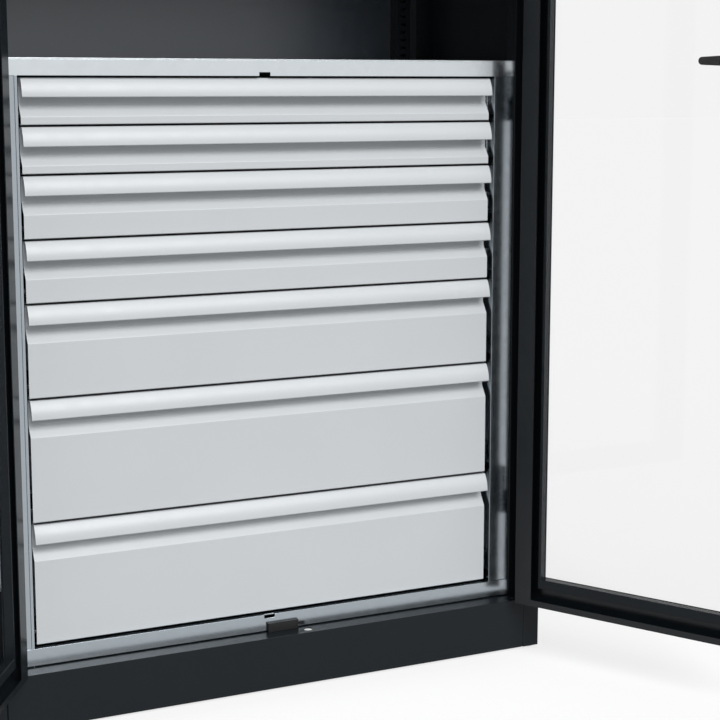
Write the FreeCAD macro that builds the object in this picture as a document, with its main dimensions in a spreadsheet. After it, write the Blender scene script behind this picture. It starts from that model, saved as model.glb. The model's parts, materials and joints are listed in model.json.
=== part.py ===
import FreeCAD, Part
import math
import os
import re

import Sketcher

# A steel cabinet with two hinged window doors, a block of seven drawers and an open compartment above it.
#
# The origin is at the centre of the base on the floor: +X right, +Y back, +Z up. Lengths are millimetres.
# Each door is drawn closed, in a frame of its own whose Z axis is its hinge axis, and placed open.

SIZES = {
    # the carcass
    "width": 1000,
    "depth": 500,
    "height": 1950,
    "sheet": 2,
    "post_width": 32,
    "post_depth": 33,
    "stop_lip": 14,
    "rear_flange": 22,
    "plinth_height": 90,
    "plinth_return": 15,
    "seam": 1.5,
    "header_height": 60,
    "foot_height": 3,
    "foot_radius": 12,
    "foot_plate_rise": 12,
    "foot_plate_sheet": 3,
    "foot_screw_radius": 4,
    "foot_screw_length": 36,
    "foot_nut_radius": 8,
    "foot_nut_height": 6,
    "fit_clearance": 0.3,
    "fixing_inset": 100,
    "fixing_drop": 150,
    "fixing_radius": 4.5,
    # shelf uprights, shelves and clips
    "upright_width": 30,
    "upright_depth": 28,
    "rear_upright_inset": 28,
    "front_upright_inset": 14,
    "slot_width": 10,
    "slot_height": 4,
    "slot_pitch": 15,
    "first_slot": 16,
    "lower_shelf_slot": 82,
    "upper_shelf_slot": 103,
    "shelf_sheet": 1.5,
    "shelf_edge": 25,
    "shelf_side_gap": 3,
    "clip_width": 9,
    "clip_reach": 14,
    "clip_hook": 10,
    # drawer block
    "block_flange": 39.7,
    "hem_width": 4.6,
    "block_rear_gap": 2,
    "rail_clearance": 2,
    "rail_height": 28,
    "rail_return": 12,
    "strip_height": 25,
    "notch_width": 19,
    "notch_depth": 6,
    "notch_place": -12,
    # drawers
    "drawer_gap": 3,
    "low_flat": 12,
    "medium_flat": 37,
    "high_flat": 87,
    "deep_flat": 137,
    "front_side_gap": 6,
    "front_setback": 42,
    "front_sheet": 1.5,
    "handle_drop": 30,
    "handle_top_lead": 2,
    "handle_bulge": 10,
    "recess_depth": 12.7,
    "undercut_height": 11,
    "slope_height": 19,
    "front_return": 9,
    "tray_sheet": 1.5,
    "tray_rear_gap": 10,
    "tray_lift": 10,
    "tray_headroom": 10,
    # telescopic runners
    "runner_space": 13,
    "runner_sheet": 1.5,
    "runner_height": 36,
    "runner_lip": 8,
    "runner_centre": 32,
    "runner_play": 2,
    # doors, drawn closed
    "door_angle": 120,
    "hinge_lead": 5.5,
    "hinge_inset": 3,
    "door_side_gap": 2,
    "door_edge_gap": 3,
    "door_thickness": 25,
    "door_sheet": 1.5,
    "stile_flange": 32,
    "free_flange": 39,
    "rail_flange": 11,
    "channel": 22,
    "stile_channel": 12,
    "stile_ring": 5,
    "rail_ring": 17,
    "ring_depth": 18,
    "pane_thickness": 4,
    "pane_margin": 3.5,
    # hinges
    "hinge_height": 86,
    "knuckle_radius": 5,
    "leaf_reach": 30,
    "leaf_sheet": 2,
    "pin_radius": 2.5,
    "pin_head_radius": 4,
    "pin_head_height": 2.5,
    "pin_fit": 0.15,
    "hinge_end_distance": 183,
    # lock
    "rod_setback": 17,
    "rod_radius": 3.5,
    "rod_hole_radius": 7.4,
    "rod_end_gap": 4,
    "lock_height": 1050,
    "lock_case_height": 120,
    "lock_case_sheet": 1.5,
    "rod_entry": 25,
    "spindle_radius": 4.5,
    "spindle_reach": 13,
    "cam_radius": 8,
    "cam_thickness": 3,
    "collar_radius": 14,
    "collar_height": 5,
    "lever_length": 110,
    "lever_width": 18,
    "lever_thickness": 9,
    # door stops
    "stop_width": 56,
    "stop_height": 16,
    "stop_place": 11,
    "stop_lead": 6,
}

# the flat face below each drawer's handle and slope, from the top drawer down
DRAWER_FLATS = ("low_flat", "low_flat", "medium_flat", "medium_flat", "high_flat", "deep_flat", "deep_flat")
SHELF_SLOTS = ("lower_shelf_slot", "upper_shelf_slot")
SIDES = {"left": -1, "right": 1}

# places worked out from the sizes, as expressions
FRONT = "(-depth / 2)"
BACK = "(depth / 2)"
HALF = "(width / 2)"
WALL_INSIDE = "(width / 2 - sheet)"
POST_INSIDE = "(width / 2 - post_width)"
LIP_END = "(width / 2 - post_width - stop_lip)"
STOP_FACE = "(-depth / 2 + post_depth - sheet)"
FRAME_FACE = "(-depth / 2 + post_depth)"
BACK_WALL_FACE = "(depth / 2 - 2 * sheet)"
FLOOR_TOP = "(foot_height + plinth_height)"
WALL_TOP = "(height - sheet)"
HEADER_BOTTOM = "(height - header_height)"
RAIL_TOP = "(foot_height + plinth_height + rail_clearance + rail_height)"
DRAWERS_BASE = f"({RAIL_TOP} + drawer_gap / 2)"
RECESS_DROP = "(handle_drop + undercut_height)"
SLOPE_DROP = "(handle_drop + undercut_height + slope_height)"
DRAWER_PITCHES = tuple(f"({SLOPE_DROP} + {flat} + drawer_gap)" for flat in DRAWER_FLATS)
DRAWERS_TOP = f"({DRAWERS_BASE} + {' + '.join(DRAWER_PITCHES)})"
STRIP_BOTTOM = f"({DRAWERS_TOP} + drawer_gap / 2)"
BLOCK_TOP = f"({STRIP_BOTTOM} + strip_height)"
FRONT_UPRIGHT_FACE = f"({FRAME_FACE} + upright_depth)"
REAR_UPRIGHT_FACE = f"({BACK_WALL_FACE} - upright_depth)"
BLOCK_END = f"({LIP_END} - fit_clearance)"
BLOCK_HALF = f"({BLOCK_END} - block_flange)"
BLOCK_BACK = f"({REAR_UPRIGHT_FACE} - block_rear_gap)"
FRONT_FACE = "(-depth / 2 + front_setback)"
TRAY_FRONT = f"({FRONT_FACE} + recess_depth + front_sheet)"
TRAY_BACK = f"({BLOCK_BACK} - tray_rear_gap)"
TRAY_HALF = f"({BLOCK_HALF} - runner_space)"
HINGE_X = "(width / 2 - post_width - hinge_inset)"
HINGE_Y = "(-depth / 2 - hinge_lead)"
DOOR_FACE = "hinge_lead"
DOOR_BACK = "(hinge_lead + door_thickness)"
DOOR_BOTTOM = f"({FLOOR_TOP} + door_edge_gap)"
DOOR_TOP = f"({HEADER_BOTTOM} - door_edge_gap)"
HINGE_LEVELS = {
    "low": f"({DOOR_BOTTOM} + hinge_end_distance)",
    "middle": f"(({DOOR_BOTTOM} + {DOOR_TOP}) / 2)",
    "high": f"({DOOR_TOP} - hinge_end_distance)",
}
# distances across a door, from its hinge axis towards its free edge
DOOR_NEAR = "(seam - hinge_inset)"
DOOR_FAR = f"({HINGE_X} - door_side_gap)"
ROD_ACROSS = f"({DOOR_FAR} - free_flange - channel / 2)"
ROD_BACK = "(hinge_lead + rod_setback)"

doc = FreeCAD.newDocument("cabinet")
sheet = doc.addObject("Spreadsheet::Sheet", "sizes")
nodes = []


def write_sizes():
    """Put every driving size in the sheet, with its name as the cell's alias."""
    for row, (name, size) in enumerate(SIZES.items(), start=1):
        sheet.set(f"A{row}", name)
        sheet.set(f"B{row}", str(size))
        sheet.setAlias(f"B{row}", name)
    doc.recompute()


def in_sheet(text):
    """An expression whose size names are looked up in the sheet."""
    return re.sub(r"[a-z_]+", lambda word: f"sizes.{word[0]}" if word[0] in SIZES else word[0], str(text))


def bind(thing, path, text):
    """Tie one property of an object to an expression of the sizes."""
    thing.setExpression(path, in_sheet(text))


def number(text):
    """The value of an expression of the sizes."""
    return float(sheet.evalExpression(in_sheet(text)))


def node(thing, name):
    """Name a finished sub-part, which is written out under that name."""
    thing.Label = name
    nodes.append(thing)
    return thing


def across(side, inner, outer):
    """The low and high X of what lies between two distances from the middle, on one side."""
    return (inner, outer) if side > 0 else (f"-({outer})", f"-({inner})")


def middle(centre, size):
    """Low and high ends of a size about its centre."""
    return f"({centre}) - ({size}) / 2", f"({centre}) + ({size}) / 2"


def block(name, along_x, along_y, along_z):
    """An upright block between a low and a high end on each axis."""
    box = doc.addObject("Part::Box", name)
    spans = (("Length", "x", along_x), ("Width", "y", along_y), ("Height", "z", along_z))
    for side, axis, (low, high) in spans:
        bind(box, side, f"({high}) - ({low})")
        bind(box, f"Placement.Base.{axis}", low)
    return box


def post(name, centre, radius, along_z):
    """An upright round bar about an (x, y) centre."""
    low, high = along_z
    bar = doc.addObject("Part::Cylinder", name)
    bind(bar, "Radius", radius)
    bind(bar, "Height", f"({high}) - ({low})")
    for axis, place in zip("xyz", (*centre, low)):
        bind(bar, f"Placement.Base.{axis}", place)
    return bar


def bore(name, centre, radius, along_y):
    """A round bar that lies along Y about an (x, z) centre."""
    low, high = along_y
    bar = doc.addObject("Part::Cylinder", name)
    bar.Placement.Rotation = FreeCAD.Rotation(FreeCAD.Vector(1, 0, 0), -90)
    bind(bar, "Radius", radius)
    bind(bar, "Height", f"({high}) - ({low})")
    for axis, place in zip("xyz", (centre[0], low, centre[1])):
        bind(bar, f"Placement.Base.{axis}", place)
    return bar


def fuse(name, *pieces):
    """Pieces joined into one solid."""
    joined = doc.addObject("Part::MultiFuse", name)
    joined.Shapes = list(pieces)
    joined.Refine = True
    return joined


def group(name, *pieces):
    """Separate solids kept together as one sub-part."""
    together = doc.addObject("Part::Compound", name)
    together.Links = list(pieces)
    return together


def cut(name, base, *tools):
    """One piece with others taken away from it."""
    left = doc.addObject("Part::Cut", name)
    left.Base = base
    left.Tool = tools[0] if len(tools) == 1 else group(f"{name}_tools", *tools)
    left.Refine = True
    return left


def arc_edge(start, end, centre):
    """The shorter arc between two corners about a centre, and whether it runs backwards."""
    from_angle, to_angle = (math.atan2(p.y - centre.y, p.x - centre.x) for p in (start, end))
    backwards = (to_angle - from_angle) % math.tau > math.pi
    if backwards:
        from_angle, to_angle = to_angle, from_angle
    circle = Part.Circle(centre, FreeCAD.Vector(0, 0, 1), start.distanceToPoint(centre))
    return Part.ArcOfCircle(circle, from_angle, to_angle), backwards


def outline(body, name, plane, corners, level, arcs):
    """A closed sketch with its corners tied to the sizes. arcs gives an edge's (centre, radius) by number."""
    sketch = body.newObject("Sketcher::SketchObject", name)
    origin_plane = next(f for f in body.Origin.OriginFeatures if f.Role == f"{plane}_Plane")
    sketch.AttachmentSupport = [(origin_plane, "")]
    sketch.MapMode = "FlatFace"
    bind(sketch, "AttachmentOffset.Base.z", level)
    points = [FreeCAD.Vector(number(x), number(y), 0) for x, y in corners]
    edges, backwards = [], []
    for i, start in enumerate(points):
        end = points[(i + 1) % len(points)]
        if i in arcs:
            edge, is_backwards = arc_edge(start, end, FreeCAD.Vector(*map(number, arcs[i][0]), 0))
        else:
            edge, is_backwards = Part.LineSegment(start, end), False
        edges.append(edge)
        backwards.append(is_backwards)
    sketch.addGeometry(edges, False)
    first, last = [2 if b else 1 for b in backwards], [1 if b else 2 for b in backwards]
    ties, bindings = [], []
    for i, (x, y) in enumerate(corners):
        following = (i + 1) % len(corners)
        ties.append(Sketcher.Constraint("Coincident", i, last[i], following, first[following]))
        bindings += [(len(ties), x), (len(ties) + 1, y)]
        ties.append(Sketcher.Constraint("DistanceX", -1, 1, i, first[i], points[i].x))
        ties.append(Sketcher.Constraint("DistanceY", -1, 1, i, first[i], points[i].y))
    for i, (_, radius) in arcs.items():
        bindings.append((len(ties), radius))
        ties.append(Sketcher.Constraint("Radius", i, number(radius)))
    sketch.addConstraint(ties)
    for constraint, text in bindings:
        bind(sketch, f"Constraints[{constraint}]", text)
    return sketch


def fold(name, plane, corners, ends, arcs=None):
    """A folded sheet: its section on one of the origin planes, padded between a low and a high end."""
    low, high = ends
    body = doc.addObject("PartDesign::Body", name)
    level = f"-({high})" if plane == "XZ" else low
    pad = body.newObject("PartDesign::Pad", f"{name}_pad")
    pad.Profile = outline(body, f"{name}_section", plane, corners, level, arcs or {})
    bind(pad, "Length", f"({high}) - ({low})")
    body.Tip = pad
    return body


def mirrored(side, corners):
    """A section's corners on the right side, or their mirror image on the left."""
    return [(f"{side} * ({x})", y) for x, y in corners]


# ---------------------------------------------------------------- carcass


def side_wall(side_name, side):
    """A side sheet with its front post, the stop lip behind the post, and the rear flange."""
    section = [
        (HALF, FRONT),
        (HALF, BACK),
        (f"{HALF} - rear_flange", BACK),
        (f"{HALF} - rear_flange", f"{BACK} - sheet"),
        (WALL_INSIDE, f"{BACK} - sheet"),
        (WALL_INSIDE, f"{FRONT} + sheet"),
        (f"{POST_INSIDE} + sheet", f"{FRONT} + sheet"),
        (f"{POST_INSIDE} + sheet", FRAME_FACE),
        (LIP_END, FRAME_FACE),
        (LIP_END, STOP_FACE),
        (POST_INSIDE, STOP_FACE),
        (POST_INSIDE, FRONT),
    ]
    wall = fold(f"side_{side_name}", "XY", mirrored(side, section), ("foot_height", WALL_TOP))
    node(wall, f"side_wall_{side_name}")


def back_wall():
    """The rear sheet, inside the rear flanges, with two holes to fix it to a building wall."""
    ends = (f"{BACK} - 2 * sheet", f"{BACK} - sheet")
    plain = block("rear_sheet", (f"-{WALL_INSIDE}", WALL_INSIDE), ends, ("foot_height", WALL_TOP))
    holes = [
        bore(f"fixing_hole_{name}", (f"{side} * ({HALF} - fixing_inset)", "height - fixing_drop"),
             "fixing_radius", (f"{ends[0]} - sheet", f"{ends[1]} + sheet"))
        for name, side in SIDES.items()
    ]
    node(cut("rear", plain, *holes), "back_wall")


def rod_hole(name, level):
    """The hole that a lock rod enters, through a sheet at one level."""
    centre = (f"{HINGE_X} - {ROD_ACROSS}", f"{FRONT} + rod_setback")
    return post(name, centre, "rod_hole_radius", (f"{level} - 2 * sheet", f"{level} + 2 * sheet"))


def top_panel():
    """The roof sheet over the side walls, with the header folded down between the posts."""
    roof = block("roof", (f"-{HALF}", HALF), (FRONT, BACK), (WALL_TOP, "height"))
    section = [
        (FRONT, WALL_TOP),
        (FRONT, HEADER_BOTTOM),
        (STOP_FACE, HEADER_BOTTOM),
        (STOP_FACE, f"{HEADER_BOTTOM} + sheet"),
        (f"{FRONT} + sheet", f"{HEADER_BOTTOM} + sheet"),
        (f"{FRONT} + sheet", WALL_TOP),
    ]
    end = f"({POST_INSIDE} - seam)"
    header = fold("header", "YZ", section, (f"-{end}", end))
    hole = rod_hole("upper_rod_hole", HEADER_BOTTOM)
    node(cut("top", fuse("roof_and_header", roof, header), hole), "top_panel")


def plinth_front():
    """The plinth between the posts: a face with a lip above and a return below."""
    section = [
        (FRONT, "foot_height"),
        (FRONT, FLOOR_TOP),
        (STOP_FACE, FLOOR_TOP),
        (STOP_FACE, f"{FLOOR_TOP} - sheet"),
        (f"{FRONT} + sheet", f"{FLOOR_TOP} - sheet"),
        (f"{FRONT} + sheet", "foot_height + sheet"),
        (f"{FRONT} + plinth_return", "foot_height + sheet"),
        (f"{FRONT} + plinth_return", "foot_height"),
    ]
    end = f"({POST_INSIDE} - seam)"
    face = fold("plinth_sheet", "YZ", section, (f"-{end}", end))
    node(cut("plinth", face, rod_hole("lower_rod_hole", FLOOR_TOP)), "plinth_front")


def floor_panel():
    """The floor sheet, from the plinth's lip to the back wall, notched round the stop lips."""
    notch = f"{LIP_END} - fit_clearance"
    behind = f"{FRAME_FACE} + fit_clearance"
    half = [(notch, STOP_FACE), (notch, behind), (WALL_INSIDE, behind), (WALL_INSIDE, BACK_WALL_FACE)]
    section = half + [(f"-({x})", y) for x, y in reversed(half)]
    node(fold("floor", "XY", section, (f"{FLOOR_TOP} - sheet", FLOOR_TOP)), "floor_panel")


def feet():
    """A levelling foot in each corner, screwed through a plate in the corner."""
    plate_size = "(post_width - 2 * sheet)"
    plate_low = "(foot_height + foot_plate_rise)"
    rows = {
        "front": f"{FRONT} + sheet + {plate_size} / 2",
        "rear": f"{BACK_WALL_FACE} - {plate_size} / 2",
    }
    plates, screws = [], []
    for row, y in rows.items():
        for side_name, side in SIDES.items():
            corner = f"{row}_{side_name}"
            x = f"{side} * ({WALL_INSIDE} - {plate_size} / 2)"
            plain = block(f"plate_{corner}", middle(x, plate_size), middle(y, plate_size),
                          (plate_low, f"{plate_low} + foot_plate_sheet"))
            hole = post(f"plate_hole_{corner}", (x, y), "foot_screw_radius + fit_clearance",
                        (f"{plate_low} - sheet", f"{plate_low} + foot_plate_sheet + sheet"))
            plates.append(cut(f"drilled_plate_{corner}", plain, hole))
            pad = post(f"pad_{corner}", (x, y), "foot_radius", ("0", "foot_height - fit_clearance"))
            screw = post(f"screw_{corner}", (x, y), "foot_screw_radius", ("0", "foot_screw_length"))
            nut = post(f"nut_{corner}", (x, y), "foot_nut_radius",
                       (f"{plate_low} - foot_nut_height", plate_low))
            screws.append(fuse(f"foot_{corner}", pad, screw, nut))
    node(group("foot_plate_set", *plates), "foot_plates")
    node(group("foot_set", *screws), "levelling_feet")


# ---------------------------------------------------------------- uprights, shelves, clips


def upright_inside(inset):
    """How far from the middle an upright of that inset begins."""
    return f"({WALL_INSIDE} - {inset} - upright_width)"


def upright():
    """A channel as tall as the inside, its face on Y = 0 with a column of slots, and its feet behind."""
    half, skin = "(upright_width / 2)", "shelf_sheet"
    section = [
        (f"-{half}", "0"),
        (half, "0"),
        (half, "upright_depth"),
        (f"{half} - {skin}", "upright_depth"),
        (f"{half} - {skin}", skin),
        (f"-{half} + {skin}", skin),
        (f"-{half} + {skin}", "upright_depth"),
        (f"-{half}", "upright_depth"),
    ]
    body = fold("upright", "XY", section, (FLOOR_TOP, WALL_TOP))
    left, right = middle("0", "slot_width")
    low, high = middle(f"{FLOOR_TOP} + first_slot", "slot_height")
    slot = body.newObject("PartDesign::Pocket", "slot")
    slot_corners = [(left, low), (right, low), (right, high), (left, high)]
    slot.Profile = outline(body, "slot_section", "XZ", slot_corners, "0", {})
    slot.Midplane = True
    bind(slot, "Length", f"4 * {skin}")
    doc.recompute()
    column = body.newObject("PartDesign::LinearPattern", "slots")
    column.Originals = [slot]
    column.Direction = (next(f for f in body.Origin.OriginFeatures if f.Role == "Z_Axis"), [""])
    room = f"({WALL_TOP} - {FLOOR_TOP} - 2 * first_slot)"
    bind(column, "Occurrences", f"floor({room} / slot_pitch) + 1")
    bind(column, "Length", f"floor({room} / slot_pitch) * slot_pitch")
    body.Tip = column
    return body


def uprights():
    """Four slotted uprights that face each other: two behind the posts and two at the back wall."""
    bar = upright()
    rows = {
        "front": ("front_upright_inset", FRONT_UPRIGHT_FACE, 180),
        "rear": ("rear_upright_inset", REAR_UPRIGHT_FACE, 0),
    }
    placed = []
    for row, (inset, face, turn) in rows.items():
        for side_name, side in SIDES.items():
            copy = group(f"{row}_upright_{side_name}", bar)
            copy.Placement.Rotation = FreeCAD.Rotation(FreeCAD.Vector(0, 0, 1), turn)
            bind(copy, "Placement.Base.x", f"{side} * ({upright_inside(inset)} + upright_width / 2)")
            bind(copy, "Placement.Base.y", face)
            placed.append(copy)
    node(group("upright_set", *placed), "shelf_uprights")


def slot_level(steps):
    """The height of the slot that many steps above the first."""
    return f"({FLOOR_TOP} + first_slot + round({steps}) * slot_pitch)"


def shelves_and_clips():
    """Two folded shelves, each on four clips hooked into the uprights."""
    end = f"({WALL_INSIDE} - shelf_side_gap)"
    ends = (f"{FRONT_UPRIGHT_FACE} + fit_clearance", f"{REAR_UPRIGHT_FACE} - fit_clearance")
    half_clip = "(slot_height / 2 - fit_clearance)"
    boards, clips = [], []
    for steps in SHELF_SLOTS:
        under = f"({slot_level(steps)} + {half_clip})"
        top = f"({under} + shelf_edge)"
        plain = block(f"board_{steps}", (f"-{end}", end), ends, (under, top))
        hollow = block(f"hollow_{steps}", (f"-{end} + shelf_sheet", f"{end} - shelf_sheet"),
                       (f"{ends[0]} + shelf_sheet", f"{ends[1]} - shelf_sheet"),
                       (f"{under} - shelf_sheet", f"{top} - shelf_sheet"))
        boards.append(cut(f"folded_{steps}", plain, hollow))
        for side_name, side in SIDES.items():
            rows = {
                "front": ("front_upright_inset", FRONT_UPRIGHT_FACE, 1),
                "rear": ("rear_upright_inset", REAR_UPRIGHT_FACE, -1),
            }
            for row, (inset, face, out) in rows.items():
                x = f"{side} * ({upright_inside(inset)} + upright_width / 2)"
                tip = f"({face} + {out} * clip_reach)"
                skin = f"({face} - {out} * (shelf_sheet + fit_clearance))"
                heel = f"({skin} - {out} * shelf_sheet)"
                tongue_ends = (heel, tip) if out > 0 else (tip, heel)
                hook_ends = (heel, skin) if out > 0 else (skin, heel)
                level = (f"{slot_level(steps)} - {half_clip}", under)
                label = f"{steps}_{row}_{side_name}"
                tongue = block(f"tongue_{label}", middle(x, "clip_width"), tongue_ends, level)
                hook = block(f"hook_{label}", middle(x, "clip_width"), hook_ends,
                             (f"{level[0]} - clip_hook", level[1]))
                clips.append(fuse(f"clip_{label}", tongue, hook))
    node(group("shelf_set", *boards), "shelves")
    node(group("clip_set", *clips), "shelf_clips")


# ---------------------------------------------------------------- drawer block


def block_side(side_name, side):
    """A side of the drawer frame: a hemmed front flange in front of a deep side sheet."""
    section = [
        (BLOCK_HALF, FRAME_FACE),
        (f"{BLOCK_HALF} + hem_width", FRAME_FACE),
        (f"{BLOCK_HALF} + hem_width", f"{FRAME_FACE} + sheet"),
        (BLOCK_END, f"{FRAME_FACE} + sheet"),
        (BLOCK_END, f"{FRAME_FACE} + 2 * sheet"),
        (BLOCK_HALF, f"{FRAME_FACE} + 2 * sheet"),
    ]
    flange = fold(f"flange_{side_name}", "XY", mirrored(side, section), (RAIL_TOP, STRIP_BOTTOM))
    deep = block(f"deep_side_{side_name}", across(side, BLOCK_HALF, f"{BLOCK_HALF} + sheet"),
                 (f"{FRAME_FACE} + sheet", BLOCK_BACK), (FLOOR_TOP, BLOCK_TOP))
    node(fuse(f"frame_side_{side_name}", flange, deep), f"block_side_{side_name}")


def front_bar(name, ends, notch_level):
    """A bar across the front of the drawer frame with a small notch in one edge."""
    bar = block(f"{name}_bar", (f"-{BLOCK_END}", BLOCK_END), (FRAME_FACE, f"{FRAME_FACE} + sheet"), ends)
    through = (f"{FRAME_FACE} - sheet", f"{FRAME_FACE} + 2 * sheet")
    notch = block(f"{name}_notch", middle("notch_place", "notch_width"), through,
                  middle(notch_level, "2 * notch_depth"))
    return bar, notch


def block_frame():
    """The strip above the drawers, the rail below them and the cover on top."""
    bar, notch = front_bar("strip", (STRIP_BOTTOM, BLOCK_TOP), STRIP_BOTTOM)
    node(cut("strip", bar, notch), "block_top_strip")

    rail_low = f"({FLOOR_TOP} + rail_clearance)"
    bar, notch = front_bar("rail", (rail_low, RAIL_TOP), RAIL_TOP)
    shelf = block("rail_shelf", (f"-{BLOCK_HALF}", BLOCK_HALF),
                  (f"{FRAME_FACE} + sheet", f"{FRAME_FACE} + rail_return"), (f"{RAIL_TOP} - sheet", RAIL_TOP))
    node(cut("rail", fuse("rail_sheet", bar, shelf), notch), "block_bottom_rail")

    cover = block("cover", (f"-{BLOCK_END}", BLOCK_END), (FRAME_FACE, BLOCK_BACK),
                  (BLOCK_TOP, f"{BLOCK_TOP} + sheet"))
    node(cover, "block_cover")


# ---------------------------------------------------------------- drawers and runners


def drawer_levels():
    """Each drawer's number with the bottom and top of its front, from the top drawer down."""
    for number_from_top, pitch in enumerate(DRAWER_PITCHES, start=1):
        below = " + ".join(DRAWER_PITCHES[number_from_top:]) or "0"
        bottom = f"({DRAWERS_BASE} + {below} + drawer_gap / 2)"
        yield number_from_top, bottom, f"({bottom} + {pitch} - drawer_gap)"


def drawer_front(name, bottom, top):
    """A front sheet: a bulging handle rail, a finger recess behind it, a slope and the flat face."""
    lip = f"({FRONT_FACE} - handle_top_lead - handle_bulge)"
    edge = f"({top} - handle_drop)"
    radius = "((handle_bulge ^ 2 + handle_drop ^ 2) / (2 * handle_bulge))"
    centre = (f"{lip} + {radius}", edge)
    inner_radius = f"({radius} - front_sheet)"
    inner_start = f"({lip} + {radius} - sqrt({inner_radius} ^ 2 - (handle_drop - front_sheet) ^ 2))"
    recess = f"({FRONT_FACE} + recess_depth)"
    section = [
        (f"{recess} + front_sheet", top),
        (f"{FRONT_FACE} - handle_top_lead", top),
        (lip, edge),
        (f"{lip} + front_sheet", edge),
        (inner_start, f"{top} - front_sheet"),
        (recess, f"{top} - front_sheet"),
        (recess, f"{top} - {RECESS_DROP}"),
        (FRONT_FACE, f"{top} - {SLOPE_DROP}"),
        (FRONT_FACE, bottom),
        (f"{FRONT_FACE} + front_return", bottom),
        (f"{FRONT_FACE} + front_return", f"{bottom} + front_sheet"),
        (f"{FRONT_FACE} + front_sheet", f"{bottom} + front_sheet"),
        (f"{FRONT_FACE} + front_sheet", f"{top} - {SLOPE_DROP} - front_sheet / 3"),
        (f"{recess} + front_sheet", f"{top} - {RECESS_DROP} - front_sheet / 3"),
    ]
    arcs = {1: (centre, radius), 3: (centre, inner_radius)}
    half_width = f"({BLOCK_HALF} - front_side_gap)"
    return fold(name, "YZ", section, (f"-{half_width}", half_width), arcs)


def drawer_tray(name, bottom, top):
    """An open box behind the front."""
    low, high = f"({bottom} + tray_lift)", f"({top} - tray_headroom)"
    outer = block(f"{name}_outer", (f"-{TRAY_HALF}", TRAY_HALF), (TRAY_FRONT, TRAY_BACK), (low, high))
    inner = block(f"{name}_inner", (f"-{TRAY_HALF} + tray_sheet", f"{TRAY_HALF} - tray_sheet"),
                  (f"{TRAY_FRONT} + tray_sheet", f"{TRAY_BACK} - tray_sheet"),
                  (f"{low} + tray_sheet", f"{high} + tray_sheet"))
    return cut(name, outer, inner)


def runner_member(name, side, web, lip_end, half_height, level):
    """One channel of a telescopic runner: a web between two distances from the middle, and two lips."""
    back, front = web
    section = [
        (back, f"{level} - {half_height}"),
        (back, f"{level} + {half_height}"),
        (lip_end, f"{level} + {half_height}"),
        (lip_end, f"{level} + {half_height} - runner_sheet"),
        (front, f"{level} + {half_height} - runner_sheet"),
        (front, f"{level} - {half_height} + runner_sheet"),
        (lip_end, f"{level} - {half_height} + runner_sheet"),
        (lip_end, f"{level} - {half_height}"),
    ]
    return fold(name, "XZ", mirrored(side, section), (f"{TRAY_FRONT} + front_sheet", TRAY_BACK))


def runner(number_from_top, side_name, side, bottom):
    """The cabinet's, the middle and the drawer's member of one runner, nested with a small clearance."""
    level = f"({bottom} + runner_centre)"
    label = f"{number_from_top}_{side_name}"
    step = "(runner_sheet + fit_clearance)"
    middle_back = f"({BLOCK_HALF} - runner_sheet - runner_play)"
    fixed = runner_member(f"fixed_{label}", side, (BLOCK_HALF, f"({BLOCK_HALF} - runner_sheet)"),
                          f"({BLOCK_HALF} - runner_lip)", "(runner_height / 2)", level)
    sliding = runner_member(f"middle_{label}", side, (middle_back, f"({middle_back} - runner_sheet)"),
                            f"({middle_back} - runner_lip + runner_sheet)",
                            f"(runner_height / 2 - {step})", level)
    moving = runner_member(f"drawer_{label}", side, (TRAY_HALF, f"({TRAY_HALF} + runner_sheet)"),
                           f"({TRAY_HALF} + runner_lip - fit_clearance)",
                           f"(runner_height / 2 - 2 * {step})", level)
    return fixed, sliding, moving


def drawers():
    """Seven drawers, each a front, a tray and its runners."""
    cabinet_members = []
    for number_from_top, bottom, top in drawer_levels():
        name = f"drawer_{number_from_top}"
        node(drawer_front(f"front_{number_from_top}", bottom, top), f"{name}_front")
        node(drawer_tray(f"tray_{number_from_top}", bottom, top), f"{name}_tray")
        pairs = [runner(number_from_top, side_name, side, bottom) for side_name, side in SIDES.items()]
        fixed, sliding, moving = zip(*pairs)
        cabinet_members += fixed
        node(group(f"moving_pair_{number_from_top}", *moving), f"{name}_runners")
        node(group(f"sliding_pair_{number_from_top}", *sliding), f"slide_{number_from_top}_members")
    node(group("cabinet_members", *cabinet_members), "runner_rails")


# ---------------------------------------------------------------- doors


def place_on_hinge(thing, side):
    """A closed door's piece turned open about its hinge axis."""
    placed = group(f"{thing.Name}_open", thing)
    bind(placed, "Placement.Base.x", f"{side} * {HINGE_X}")
    bind(placed, "Placement.Base.y", HINGE_Y)
    bind(placed, "Placement.Rotation.Angle", f"{side} * door_angle")
    return placed


def door_block(name, side, across_door, along_y, along_z):
    """A block on a closed door, given by distances from its hinge axis."""
    return block(name, across(-side, *across_door), along_y, along_z)


def inside_frame(stile, free_stile, rail):
    """The spans across and up a door that lie within a frame of those widths."""
    return (
        (f"{DOOR_NEAR} + {stile}", f"{DOOR_FAR} - {free_stile}"),
        (f"{DOOR_BOTTOM} + {rail}", f"{DOOR_TOP} - {rail}"),
    )


def window_frame(inside="0"):
    """The spans across and up a door within the edge of its window, or that far inside the edge."""
    return inside_frame(
        f"(stile_flange + stile_channel + stile_ring + {inside})",
        f"(free_flange + channel + stile_ring + {inside})",
        f"(rail_flange + channel + rail_ring + {inside})",
    )


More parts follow.
